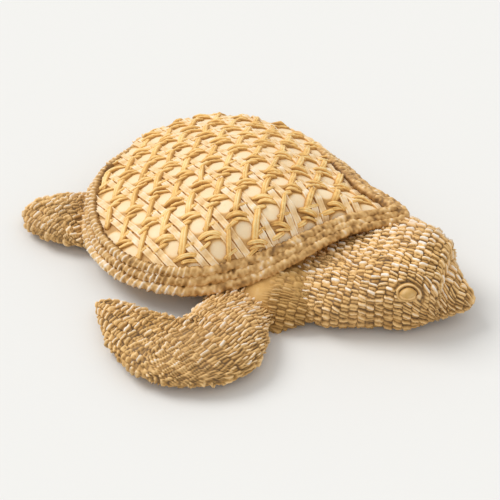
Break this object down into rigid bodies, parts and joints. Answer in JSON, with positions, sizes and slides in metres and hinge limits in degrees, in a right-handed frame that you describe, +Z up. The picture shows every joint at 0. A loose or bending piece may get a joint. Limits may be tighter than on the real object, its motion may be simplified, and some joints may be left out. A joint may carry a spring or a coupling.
{
  "type": "turtle statuette",
  "caption": "Low sea turtle table ornament in cast resin that imitates woven cane, with a domed shell, bound rim, spread flippers and a head turned to its right.",
  "frame": {"origin": "on the surface it stands on, under the middle of the bounding box", "axes": "+X towards the head, along the shell's axis; +Y to the turtle's left; +Z up"},
  "size_m": [0.2776, 0.2533, 0.0537],
  "materials": {
    "resin": "golden beige painted resin, brown in the recesses and dry-brushed pale on the raised strands, satin to matte"
  },
  "bodies": {
    "root": {"turtle": "resin"}
  },
  "joints": []
}
